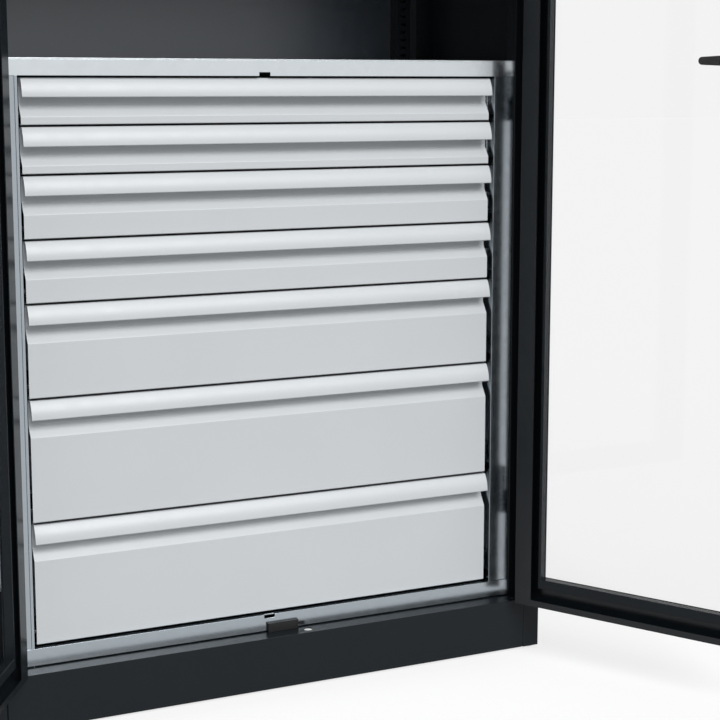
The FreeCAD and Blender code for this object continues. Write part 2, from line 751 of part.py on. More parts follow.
def door_skin(side_name, side, holes):
    """The steel door: a front sheet with a window, edges folded back, and flanges folded inwards."""
    shell = door_block(f"shell_{side_name}", side, (DOOR_NEAR, DOOR_FAR), (DOOR_FACE, DOOR_BACK),
                       (DOOR_BOTTOM, DOOR_TOP))
    width, height = inside_frame("door_sheet", "door_sheet", "door_sheet")
    cavity = door_block(f"cavity_{side_name}", side, width,
                        (f"{DOOR_FACE} + door_sheet", f"{DOOR_BACK} - door_sheet"), height)
    width, height = inside_frame("stile_flange", "free_flange", "rail_flange")
    rear_opening = door_block(f"rear_opening_{side_name}", side, width,
                              (f"{DOOR_BACK} - 2 * door_sheet", f"{DOOR_BACK} + door_sheet"), height)
    width, height = window_frame()
    window_hole = door_block(f"window_hole_{side_name}", side, width,
                             (f"{DOOR_FACE} - door_sheet", f"{DOOR_FACE} + 2 * door_sheet"), height)
    hollow = fuse(f"hollow_{side_name}", cavity, rear_opening, window_hole)
    skin = cut(f"skin_{side_name}", shell, hollow, *holes)
    node(place_on_hinge(skin, side), f"door_{side_name}_skin")


def door_glazing(side_name, side):
    """The pane, and the retainer frame that holds it against the front sheet."""
    inner_y = f"({DOOR_FACE} + door_sheet)"
    width, height = inside_frame("(stile_flange + stile_channel)", "(free_flange + channel)",
                                 "(rail_flange + channel)")
    ring = door_block(f"ring_{side_name}", side, width, (inner_y, f"{inner_y} + ring_depth"), height)
    width, height = window_frame()
    through = door_block(f"through_{side_name}", side, width,
                         (f"{inner_y} - door_sheet", f"{inner_y} + ring_depth + door_sheet"), height)
    pane_y = (inner_y, f"{inner_y} + pane_thickness")
    width, height = window_frame("-pane_margin")
    pocket = door_block(f"pocket_{side_name}", side, width, pane_y, height)
    pane = door_block(f"pane_{side_name}", side, width, pane_y, height)
    retainer = cut(f"retainer_{side_name}", ring, fuse(f"ring_hollow_{side_name}", through, pocket))
    node(place_on_hinge(retainer, side), f"door_{side_name}_glazing_frame")
    node(place_on_hinge(pane, side), f"door_{side_name}_window")


def hinge_leaf(name, side, ends, knuckle, hole):
    """One leaf of a hinge, drawn on its axis: a plate with a knuckle at one end, drilled for the pin."""
    along_y = (f"{DOOR_FACE} - leaf_sheet", DOOR_FACE)
    clear_of_knuckle = "knuckle_radius + fit_clearance"
    plate = block(f"{name}_plate", across(side, clear_of_knuckle, "leaf_reach"), along_y, ends)
    web = block(f"{name}_web", across(side, "0", f"{clear_of_knuckle} + fit_clearance"), along_y, knuckle)
    barrel = post(f"{name}_knuckle", ("0", "0"), "knuckle_radius", knuckle)
    return cut(name, fuse(f"{name}_blank", plate, web, barrel), hole)


def hinges(side_name, side):
    """Three hinges: the cabinet's leaves with the lower knuckles, the door's with the upper, and the pins."""
    cabinet_leaves, door_leaves, pins = [], [], []
    for level_name, level in HINGE_LEVELS.items():
        label = f"{side_name}_{level_name}"
        low, high = ends = middle(level, "hinge_height")
        lower_knuckle = (low, f"{level} - fit_clearance / 2")
        upper_knuckle = (f"{level} + fit_clearance / 2", high)
        hole = post(f"pin_hole_{label}", ("0", "0"), "pin_radius + pin_fit",
                    (f"{low} - sheet", f"{high} + sheet"))

        leaf = hinge_leaf(f"cabinet_leaf_{label}", side, ends, lower_knuckle, hole)
        bind(leaf, "Placement.Base.x", f"{side} * {HINGE_X}")
        bind(leaf, "Placement.Base.y", HINGE_Y)
        cabinet_leaves.append(leaf)
        door_leaves.append(hinge_leaf(f"door_leaf_{label}", -side, ends, upper_knuckle, hole))

        axis = (f"{side} * {HINGE_X}", HINGE_Y)
        shank = post(f"shank_{label}", axis, "pin_radius", (low, high))
        head = post(f"head_{label}", axis, "pin_head_radius", (high, f"{high} + pin_head_height"))
        pins.append(fuse(f"pin_{label}", shank, head))
    leaves = group(f"door_leaf_set_{side_name}", *door_leaves)
    node(place_on_hinge(leaves, side), f"door_{side_name}_hinge_leaves")
    return cabinet_leaves, pins


# ---------------------------------------------------------------- lock


def lock():
    """The right door's lock: a case behind the free stile, a lever with its spindle, and two rods."""
    side = SIDES["right"]
    inner_y = f"({DOOR_FACE} + door_sheet)"
    case_low, case_high = middle("lock_height", "lock_case_height")
    case_y = (inner_y, f"{DOOR_BACK} - door_sheet - fit_clearance")
    case_width = "(channel - 2 * fit_clearance)"
    outer = door_block("case_outer", side, middle(ROD_ACROSS, case_width), case_y, (case_low, case_high))
    hollow = door_block("case_hollow", side, middle(ROD_ACROSS, f"{case_width} - 2 * lock_case_sheet"),
                        (f"{case_y[0]} + lock_case_sheet", f"{case_y[1]} - lock_case_sheet"),
                        (f"{case_low} + lock_case_sheet", f"{case_high} - lock_case_sheet"))
    rod_centre = (f"-{ROD_ACROSS}", ROD_BACK)
    guide = post("case_guide", rod_centre, "rod_radius + fit_clearance",
                 (f"{case_low} - sheet", f"{case_high} + sheet"))
    spindle_hole = bore("case_spindle_hole", (f"-{ROD_ACROSS}", "lock_height"),
                        "spindle_radius + fit_clearance",
                        (f"{case_y[0]} - sheet", f"{case_y[0]} + 2 * lock_case_sheet"))
    case = cut("case", outer, hollow, guide, spindle_hole)
    node(place_on_hinge(case, side), "lock_case")

    spindle_end = f"({DOOR_FACE} + spindle_reach)"
    lever_face = f"({DOOR_FACE} - fit_clearance - collar_height)"
    spindle = bore("spindle", (f"-{ROD_ACROSS}", "lock_height"), "spindle_radius", (lever_face, spindle_end))
    cam = bore("cam", (f"-{ROD_ACROSS}", "lock_height"), "cam_radius",
               (f"{spindle_end} - cam_thickness", spindle_end))
    collar = bore("collar", (f"-{ROD_ACROSS}", "lock_height"), "collar_radius",
                  (lever_face, f"{DOOR_FACE} - fit_clearance"))
    lever = door_block("lever", side, (f"{ROD_ACROSS} - lever_length", f"{ROD_ACROSS} + lever_width / 2"),
                       (f"{lever_face} - lever_thickness", lever_face), middle("lock_height", "lever_width"))
    node(place_on_hinge(fuse("handle", spindle, cam, collar, lever), side), "lock_handle")

    upper = post("upper_bar", rod_centre, "rod_radius",
                 ("lock_height + rod_entry", f"{DOOR_TOP} - rod_end_gap / 2"))
    lower = post("lower_bar", rod_centre, "rod_radius",
                 (f"{DOOR_BOTTOM} + rod_end_gap / 2", "lock_height - rod_entry"))
    node(place_on_hinge(upper, side), "lock_rod_upper")
    node(place_on_hinge(lower, side), "lock_rod_lower")


def lock_holes():
    """Holes in the right door's skin for the rods and the lever's spindle."""
    rod_centre = (f"-{ROD_ACROSS}", ROD_BACK)
    clear = "rod_radius + fit_clearance"
    return [
        post("skin_lower_hole", rod_centre, clear, (f"{DOOR_BOTTOM} - sheet", f"{DOOR_BOTTOM} + 2 * sheet")),
        post("skin_upper_hole", rod_centre, clear, (f"{DOOR_TOP} - 2 * sheet", f"{DOOR_TOP} + sheet")),
        bore("skin_spindle_hole", (f"-{ROD_ACROSS}", "lock_height"), "spindle_radius + fit_clearance",
             (f"{DOOR_FACE} - sheet", f"{DOOR_FACE} + 2 * sheet")),
    ]


def door_stops():
    """A plastic block on the plinth's lip and another under the header, which the doors close against."""
    width = middle("stop_place", "stop_width")
    low = block("low_stop", width, (f"{FRAME_FACE} - stop_lead", FRAME_FACE),
                (FLOOR_TOP, f"{FLOOR_TOP} + stop_height"))
    high = block("high_stop", width, (f"{FRAME_FACE} - stop_lead", STOP_FACE),
                 (f"{HEADER_BOTTOM} - stop_height", HEADER_BOTTOM))
    node(group("stop_set", low, high), "door_stops")


# ---------------------------------------------------------------- the whole cabinet


def build():
    """Model every sub-part."""
    for side_name, side in SIDES.items():
        side_wall(side_name, side)
        block_side(side_name, side)
    back_wall()
    top_panel()
    plinth_front()
    floor_panel()
    feet()
    uprights()
    shelves_and_clips()
    block_frame()
    drawers()
    door_stops()
    cabinet_leaves, pins = [], []
    for side_name, side in SIDES.items():
        door_skin(side_name, side, lock_holes() if side_name == "right" else [])
        door_glazing(side_name, side)
        side_leaves, side_pins = hinges(side_name, side)
        cabinet_leaves += side_leaves
        pins += side_pins
    node(group("cabinet_leaf_set", *cabinet_leaves), "hinge_frame_leaves")
    node(group("pin_set", *pins), "hinge_pins")
    lock()


def check():
    """Stop if any object failed, or any sub-part has no sound shape."""
    failed = [thing.Name for thing in doc.Objects if {"Invalid", "Error"} & set(thing.State)]
    failed += [thing.Label for thing in nodes if thing.Shape.isNull() or not thing.Shape.isValid()]
    if failed:
        raise SystemExit(f"failed: {failed}")


def export():
    """Write each sub-part's shape under its own name."""
    os.makedirs("parts", exist_ok=True)
    for thing in nodes:
        thing.Shape.exportStep(f"parts/{thing.Label}.step")


write_sizes()
build()
doc.recompute()
check()
export()
print(f"{len(nodes)} sub-parts, {sum(len(thing.Shape.Solids) for thing in nodes)} solids")
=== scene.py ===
"""Dresses the cabinet: finishes, rolled fronts, softened edges, small fittings, studio and camera.

Sizes are in metres and angles in degrees. The camera's lens and sensor are in millimetres.
"""

from __future__ import annotations

import json
import logging
import math
from abc import ABC, abstractmethod
from dataclasses import dataclass
from enum import Enum

import bmesh
import bpy
from mathutils import Matrix, Vector

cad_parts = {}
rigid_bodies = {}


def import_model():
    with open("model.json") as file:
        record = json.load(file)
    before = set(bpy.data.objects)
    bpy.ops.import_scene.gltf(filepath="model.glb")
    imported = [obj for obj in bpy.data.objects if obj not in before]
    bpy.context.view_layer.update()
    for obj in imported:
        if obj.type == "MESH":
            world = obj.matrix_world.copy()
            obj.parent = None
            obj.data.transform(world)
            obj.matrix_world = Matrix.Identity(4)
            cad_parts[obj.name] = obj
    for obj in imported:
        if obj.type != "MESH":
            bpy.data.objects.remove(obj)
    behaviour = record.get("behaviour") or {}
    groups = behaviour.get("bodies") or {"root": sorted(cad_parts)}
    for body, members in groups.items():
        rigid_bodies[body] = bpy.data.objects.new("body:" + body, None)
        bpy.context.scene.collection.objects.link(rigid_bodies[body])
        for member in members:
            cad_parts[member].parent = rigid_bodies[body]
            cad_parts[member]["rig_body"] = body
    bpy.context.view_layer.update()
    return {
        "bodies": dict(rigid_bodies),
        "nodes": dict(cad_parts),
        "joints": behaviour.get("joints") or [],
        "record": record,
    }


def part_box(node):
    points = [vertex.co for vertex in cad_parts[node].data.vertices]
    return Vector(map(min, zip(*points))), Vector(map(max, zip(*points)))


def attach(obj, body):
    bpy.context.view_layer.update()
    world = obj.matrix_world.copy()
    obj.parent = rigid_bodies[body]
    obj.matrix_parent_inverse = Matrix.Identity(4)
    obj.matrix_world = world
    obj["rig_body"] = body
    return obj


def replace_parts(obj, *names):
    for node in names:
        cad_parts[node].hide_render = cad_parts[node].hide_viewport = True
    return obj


log = logging.getLogger("cabinet")

DRAWER_COUNT = 7

Colour = tuple[float, float, float]
Point = tuple[float, float, float]
# a place in a drawer front's section, as (y, z)
Place = tuple[float, float]
# two values that belong together, such as the ends of a range
Pair = tuple[float, float]

WHITE: Colour = (1.0, 1.0, 1.0)


class Side(Enum):
    """The two sides of the cabinet, as they stand in the pieces' names."""

    LEFT = "left"
    RIGHT = "right"


class Slot(Enum):
    """The record's material slots."""

    ANTHRACITE = "anthracite_paint"
    LIGHT_GREY = "light_grey_paint"
    GALVANISED = "galvanised_steel"
    ZINC = "bright_zinc"
    BLACK_PLASTIC = "black_plastic"
    PANE = "clear_pane"


def linear(red: int, green: int, blue: int) -> Colour:
    """Turns display values into the linear ones that shaders take, by the sRGB curve.

    Args:
        red: Red, from 0 to 255.
        green: Green, from 0 to 255.
        blue: Blue, from 0 to 255.

    Returns:
        The three linear values.
    """
    shares = (value / 255 for value in (red, green, blue))
    return tuple(s / 12.92 if s <= 0.04045 else ((s + 0.055) / 1.055) ** 2.4 for s in shares)


# ---------------------------------------------------------------- finishes


@dataclass(frozen=True)
class Pattern:
    """A noise pattern: its cells per metre and how many finer layers it has."""

    scale: float
    detail: float


@dataclass(frozen=True)
class PaintedJointShade:
    """Painted shade: how a paint darkens inside narrow joints and recesses, where other surfaces close in.

    The reach is how near another surface has to be, in metres. A place that is open by no more than closed
    keeps only the darkest share of its colour, and one that is open by clear or more keeps all of it.
    """

    reach: float
    darkest: float = 0.04
    closed: float = 0.25
    clear: float = 0.7
    samples: int = 8


class Graph:
    """A new material and short ways to add and join its nodes."""

    def __init__(self, name: str) -> None:
        """Makes an empty material.

        Args:
            name: The material's name.
        """
        self.material = bpy.data.materials.new(name)
        self.material.use_nodes = True
        self.nodes = self.material.node_tree.nodes
        self.nodes.clear()
        self.output = self.nodes.new("ShaderNodeOutputMaterial")

    def add(self, kind: str, **settings: object) -> bpy.types.Node:
        """Adds a node.

        Args:
            kind: The node's type, without its prefix.
            settings: Attributes of the node.

        Returns:
            The new node.
        """
        node = self.nodes.new(f"ShaderNode{kind}")
        for name, value in settings.items():
            setattr(node, name, value)
        return node

    def join(self, source: bpy.types.NodeSocket, target: bpy.types.NodeSocket) -> None:
        """Links one socket to another."""
        self.material.node_tree.links.new(source, target)

    def noise(self, place: bpy.types.NodeSocket, pattern: Pattern) -> bpy.types.NodeSocket:
        """Adds a noise pattern.

        Args:
            place: The coordinates that it reads.
            pattern: The pattern.

        Returns:
            The pattern's value.
        """
        node = self.add("TexNoise")
        node.inputs["Scale"].default_value = pattern.scale
        node.inputs["Detail"].default_value = pattern.detail
        self.join(place, node.inputs["Vector"])
        return node.outputs["Fac"]

    def ranged(self, value: bpy.types.NodeSocket, low: float, high: float,
               start: float = 0.3, end: float = 0.7) -> bpy.types.NodeSocket:
        """Maps a pattern onto a range.

        Args:
            value: The pattern.
            low: The result at start.
            high: The result at end.
            start: The pattern's value that gives low.
            end: The pattern's value that gives high.

        Returns:
            The mapped value.
        """
        node = self.add("MapRange")
        for name, number in (("From Min", start), ("From Max", end), ("To Min", low), ("To Max", high)):
            node.inputs[name].default_value = number
        self.join(value, node.inputs["Value"])
        return node.outputs["Result"]

    def blended(self, share: bpy.types.NodeSocket, colour: Colour, contrast: float) -> bpy.types.NodeSocket:
        """Varies a colour a little by a pattern.

        Args:
            share: The pattern, from 0 for the darker tone to 1 for the lighter.
            colour: The middle colour.
            contrast: How far each tone is from the middle, as a share of it.

        Returns:
            The varied colour.
        """
        node = self.add("Mix", data_type="RGBA")
        tones = [socket for socket in node.inputs if socket.type == "RGBA"]
        for socket, sign in zip(tones, (-1, 1)):
            socket.default_value = (*(min(value * (1 + sign * contrast), 1) for value in colour), 1)
        self.join(share, node.inputs["Factor"])
        return next(socket for socket in node.outputs if socket.type == "RGBA")

    def with_painted_joint_shade(self, colour: bpy.types.NodeSocket, shade: PaintedJointShade) -> bpy.types.NodeSocket:
        """Paints shade into a colour inside narrow joints and recesses, where other surfaces close in.

        Args:
            colour: The colour.
            shade: How it darkens.

        Returns:
            The darkened colour.
        """
        openness = self.add("AmbientOcclusion", samples=shade.samples)
        openness.inputs["Distance"].default_value = shade.reach
        node = self.add("Mix", data_type="RGBA", blend_type="MULTIPLY")
        node.inputs["Factor"].default_value = 1.0
        first, second = (socket for socket in node.inputs if socket.type == "RGBA")
        self.join(colour, first)
        kept = self.ranged(openness.outputs["AO"], shade.darkest, 1.0, shade.closed, shade.clear)
        self.join(kept, second)
        return next(socket for socket in node.outputs if socket.type == "RGBA")

    def bumped(self, height: bpy.types.NodeSocket, depth: float) -> bpy.types.NodeSocket:
        """Turns a pattern into fine relief.

        Args:
            height: The pattern.
            depth: The relief's depth in metres.

        Returns:
            The normal.
        """
        node = self.add("Bump")
        node.inputs["Strength"].default_value = 1.0
        node.inputs["Distance"].default_value = depth
        self.join(height, node.inputs["Height"])
        return node.outputs["Normal"]


class Finish(ABC):
    """A finish of the cabinet, made into a material once."""

    name: str
    slot: Slot
    made: dict[str, bpy.types.Material] = {}

    @abstractmethod
    def build(self) -> bpy.types.Material:
        """Makes the material."""

    def material(self) -> bpy.types.Material:
        """Gives the finish's material, which is made at its first use.

        Returns:
            The material.
        """
        if self.name not in Finish.made:
            Finish.made[self.name] = self.build()
        return Finish.made[self.name]

    def coat(self, piece: bpy.types.Object) -> None:
        """Gives a piece this finish.

        Args:
            piece: The piece.
        """
        if not piece.data.materials:
            piece.data.materials.append(None)
        for slot in piece.material_slots:
            slot.material = self.material()


@dataclass(frozen=True)
class PowderCoat(Finish):
    """Baked powder paint with a slight orange-peel surface."""

    name: str
    slot: Slot
    colour: Colour
    roughness: float
    gloss: float = 0.5
    mottle: float = 0.03
    peel: float = 0.00003
    # painted shade in narrow joints and recesses, from an ambient occlusion node
    joints: PaintedJointShade | None = None
    sheen_range: Pair = (0.9, 1.12)
    mottle_pattern: Pattern = Pattern(6.0, 4.0)
    sheen_pattern: Pattern = Pattern(45.0, 3.0)
    peel_pattern: Pattern = Pattern(420.0, 2.0)

    def build(self) -> bpy.types.Material:
        """Makes the paint: a faint mottle, an uneven sheen, a fine peel, and painted shade in joints where
        set.

        Returns:
            The material.
        """
        graph = Graph(self.name)
        place = graph.add("TexCoord").outputs["Object"]
        surface = graph.add("BsdfPrincipled")
        tone = graph.ranged(graph.noise(place, self.mottle_pattern), 0, 1)
        paint = graph.blended(tone, self.colour, self.mottle)
        if self.joints is not None:
            paint = graph.with_painted_joint_shade(paint, self.joints)
        graph.join(paint, surface.inputs["Base Color"])
        low, high = (self.roughness * share for share in self.sheen_range)
        sheen = graph.ranged(graph.noise(place, self.sheen_pattern), low, high)
        graph.join(sheen, surface.inputs["Roughness"])
        relief = graph.bumped(graph.noise(place, self.peel_pattern), self.peel)
        graph.join(relief, surface.inputs["Normal"])
        surface.inputs["Specular IOR Level"].default_value = self.gloss
        graph.join(surface.outputs["BSDF"], graph.output.inputs["Surface"])
        return graph.material


@dataclass(frozen=True)
class ZincSheet(Finish):
    """Zinc-coated steel: cloudy spangle and fine rolling marks."""

    name: str
    slot: Slot
    colour: Colour
    roughness: float
    spangle: float = 90.0
    contrast: float = 0.03
    sheen_range: Pair = (0.92, 1.1)
    rolling_depth: float = 0.000006
    rolling_pattern: Pattern = Pattern(300.0, 3.0)

    def build(self) -> bpy.types.Material:
        """Makes the metal: spangle in its tone and sheen, and rolling marks in its relief.

        Returns:
            The material.
        """
        graph = Graph(self.name)
        place = graph.add("TexCoord").outputs["Object"]
        surface = graph.add("BsdfPrincipled")
        cells = graph.add("TexVoronoi")
        cells.inputs["Scale"].default_value = self.spangle
        graph.join(place, cells.inputs["Vector"])
        split = graph.add("SeparateColor")
        graph.join(cells.outputs["Color"], split.inputs["Color"])
        tone = graph.ranged(split.outputs["Red"], 0, 1, 0, 1)
        graph.join(graph.blended(tone, self.colour, self.contrast), surface.inputs["Base Color"])
        low, high = (self.roughness * share for share in self.sheen_range)
        sheen = graph.ranged(split.outputs["Green"], low, high, 0, 1)
        graph.join(sheen, surface.inputs["Roughness"])
        relief = graph.bumped(graph.noise(place, self.rolling_pattern), self.rolling_depth)
        graph.join(relief, surface.inputs["Normal"])
        surface.inputs["Metallic"].default_value = 1.0
        graph.join(surface.outputs["BSDF"], graph.output.inputs["Surface"])
        return graph.material


@dataclass(frozen=True)
class Moulded(Finish):
    """Moulded plastic with a fine eroded grain."""

    name: str
    slot: Slot
    colour: Colour
    roughness: float
    gloss: float = 0.3
    contrast: float = 0.08
    grain: float = 0.00004
    sheen_range: Pair = (0.9, 1.1)
    tone_pattern: Pattern = Pattern(60.0, 3.0)
    sheen_pattern: Pattern = Pattern(200.0, 2.0)
    grain_pattern: Pattern = Pattern(1500.0, 2.0)

    def build(self) -> bpy.types.Material:
        """Makes the plastic: a slight tone change, an uneven sheen and a fine grain.

        Returns:
            The material.
        """
        graph = Graph(self.name)
        place = graph.add("TexCoord").outputs["Object"]
        surface = graph.add("BsdfPrincipled")
        tone = graph.ranged(graph.noise(place, self.tone_pattern), 0, 1)
        graph.join(graph.blended(tone, self.colour, self.contrast), surface.inputs["Base Color"])
        low, high = (self.roughness * share for share in self.sheen_range)
        sheen = graph.ranged(graph.noise(place, self.sheen_pattern), low, high)
        graph.join(sheen, surface.inputs["Roughness"])
        relief = graph.bumped(graph.noise(place, self.grain_pattern), self.grain)
        graph.join(relief, surface.inputs["Normal"])
        surface.inputs["Specular IOR Level"].default_value = self.gloss
        graph.join(surface.outputs["BSDF"], graph.output.inputs["Surface"])
        return graph.material


@dataclass(frozen=True)
class ClearPane(Finish):
    """A clear pane that lets the light of lamps and of lit surfaces straight through."""

    name: str
    slot: Slot
    tint: Colour
    refraction: float = 1.2
    polish_range: Pair = (0.0, 0.03)
    polish_pattern: Pattern = Pattern(4.0, 3.0)

    def build(self) -> bpy.types.Material:
        """Makes the pane: clear, faintly grey, with a slightly uneven polish.

        Returns:
            The material.
        """
        graph = Graph(self.name)
        place = graph.add("TexCoord").outputs["Object"]
        surface = graph.add("BsdfPrincipled")
        surface.inputs["Base Color"].default_value = (*self.tint, 1)
        surface.inputs["Transmission Weight"].default_value = 1.0
        surface.inputs["IOR"].default_value = self.refraction
        polish = graph.ranged(graph.noise(place, self.polish_pattern), *self.polish_range)
        graph.join(polish, surface.inputs["Roughness"])
        through = graph.add("BsdfTransparent")
        through.inputs["Color"].default_value = (*self.tint, 1)
        path = graph.add("LightPath")
        straight = graph.add("Math", operation="MAXIMUM")
        graph.join(path.outputs["Is Shadow Ray"], straight.inputs[0])
        graph.join(path.outputs["Is Diffuse Ray"], straight.inputs[1])
        mixed = graph.add("MixShader")
        graph.join(straight.outputs[0], mixed.inputs[0])
        graph.join(surface.outputs["BSDF"], mixed.inputs[1])
        graph.join(through.outputs["BSDF"], mixed.inputs[2])
        graph.join(mixed.outputs["Shader"], graph.output.inputs["Surface"])
        return graph.material


ANTHRACITE_TONE = linear(27, 32, 36)
ANTHRACITE = PowderCoat("anthracite_powder_coat", Slot.ANTHRACITE, ANTHRACITE_TONE, 0.24, gloss=0.14)
DOOR_ANTHRACITE = PowderCoat("door_anthracite_coat", Slot.ANTHRACITE, ANTHRACITE_TONE, 0.24, gloss=0.27)
# the back wall's anthracite: a real higher gloss, and a lighter colour as painted reflection
SMOOTH_ANTHRACITE_PAINTED_LIGHTER = PowderCoat("smooth_anthracite_painted_lighter", Slot.ANTHRACITE, linear(35, 42, 50), 0.34,
                               gloss=0.7, peel=0.00001)
# the drawers' grey, with painted shade in its joints and in the handles' recesses
LIGHT_GREY = PowderCoat("light_grey_powder_coat", Slot.LIGHT_GREY, linear(205, 209, 212), 0.34, mottle=0.012,
                        joints=PaintedJointShade(reach=0.007))
GALVANISED = ZincSheet("galvanised_sheet", Slot.GALVANISED, linear(203, 209, 213), 0.2, contrast=0.012)
# a darker copy of the galvanised sheet: painted reflection of the darker surroundings that the rail and
# block sides mirror
GALVANISED_PAINTED_DARKER = ZincSheet("galvanised_sheet_painted_darker", Slot.GALVANISED, linear(160, 168, 174), 0.2,
                            contrast=0.012)
ZINC = ZincSheet("bright_zinc_plate", Slot.ZINC, linear(186, 189, 192), 0.28, spangle=220.0, contrast=0.04)
BLACK_PLASTIC = Moulded("black_moulded_plastic", Slot.BLACK_PLASTIC, linear(28, 28, 29), 0.5)
PANE = ClearPane("clear_window_pane", Slot.PANE, linear(243, 243, 243))


# ---------------------------------------------------------------- making pieces

# angles between neighbouring faces, in degrees, and a distance in metres
FLAT_ANGLE = 0.5
SHARP_ANGLE = 30.0
MOULDED_ANGLE = 60.0
CREASE_ANGLE = 50.0
MERGE_DISTANCE = 0.000001


def settle(shape: bmesh.types.BMesh, name: str, body: str, finish: Finish) -> bpy.types.Object:
    """Turns a finished bmesh into a piece that rides on a body.

    Args:
        shape: The shape, in metres, in its place, with its faces outwards.
        name: The piece's name.
        body: The body that it moves with.
        finish: Its finish.

    Returns:
        The new object.
    """
    for face in shape.faces:
        face.smooth = True
    for edge in shape.edges:
        edge.smooth = edge.calc_face_angle(math.pi) < math.radians(CREASE_ANGLE)
    mesh = bpy.data.meshes.new(name)
    shape.to_mesh(mesh)
    shape.free()
    piece = bpy.data.objects.new(name, mesh)
    bpy.context.scene.collection.objects.link(piece)
    evened = piece.modifiers.new("even_shading", "WEIGHTED_NORMAL")
    evened.keep_sharp = True
    finish.coat(piece)
    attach(piece, body)
    log.info("%s: %d faces", name, len(mesh.polygons))
    return piece


def rounded(shape: bmesh.types.BMesh, edges: list[bmesh.types.BMEdge], offset: float, segments: int) -> None:
    """Rounds edges of a shape.

    Args:
        shape: The shape.
        edges: The edges to round.
        offset: How far the rounding reaches from each edge.
        segments: How many faces the rounding has across it.
    """
    bmesh.ops.bevel(shape, geom=edges, offset=offset, offset_type="OFFSET", affect="EDGES",
                    segments=segments, profile=0.5, material=-1, clamp_overlap=True)


def join_flat_faces(shape: bmesh.types.BMesh) -> None:
    """Joins the neighbouring faces of a shape that lie in one plane.

    Args:
        shape: The shape.
    """
    bmesh.ops.dissolve_limit(shape, angle_limit=math.radians(FLAT_ANGLE), verts=shape.verts[:],
                             edges=shape.edges[:])


def sharp_edges(shape: bmesh.types.BMesh, angle: float = SHARP_ANGLE) -> list[bmesh.types.BMEdge]:
    """Finds the outer edges of a closed shape that are sharper than an angle.

    Args:
        shape: The shape.
        angle: The angle in degrees.

    Returns:
        The edges.
    """
    limit = math.radians(angle)
    return [edge for edge in shape.edges if edge.is_convex and edge.calc_face_angle(0) > limit]


# ---------------------------------------------------------------- softened sheet metal


@dataclass(frozen=True)
class Press:
    """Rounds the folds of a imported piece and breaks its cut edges, in a copy that replaces it."""

    fold: float
    cut: float = 0.0004
    widest_edge: float = 0.006
    shortest_fold: float = 0.05
    fold_segments: int = 3
    cut_segments: int = 2

    def soften(self, node: bpy.types.Object, finish: Finish) -> bpy.types.Object:
        """Makes the softened copy of one node.

        Args:
            node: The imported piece.
            finish: The copy's finish.

        Returns:
            The copy, which replaces the node.
        """
        shape = bmesh.new()
        shape.from_mesh(node.data)
        bmesh.ops.remove_doubles(shape, verts=shape.verts[:], dist=MERGE_DISTANCE)
        join_flat_faces(shape)
        bmesh.ops.connect_verts_concave(shape, faces=shape.faces[:])
        folds = [edge for edge in sharp_edges(shape) if self.is_fold(edge)]
        rounded(shape, folds, self.fold, self.fold_segments)
        rounded(shape, sharp_edges(shape), self.cut, self.cut_segments)
        piece = settle(shape, f"{node.name}_softened", node["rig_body"], finish)
        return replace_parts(piece, node.name)

    def is_fold(self, edge: bmesh.types.BMEdge) -> bool:
        """Tells a fold, which is long and lies between wide faces, from a cut edge of the sheet.

        Args:
            edge: The edge.

        Returns:
            Whether it is a fold.
        """
        length = edge.calc_length()
        return length > self.shortest_fold and all(
            face.calc_area() / length > self.widest_edge for face in edge.link_faces
        )


CARCASS_PRESS = Press(fold=0.0016)
THIN_PRESS = Press(fold=0.0011)
HARDWARE_PRESS = Press(fold=0.0005, cut=0.0003)


# ---------------------------------------------------------------- drawers


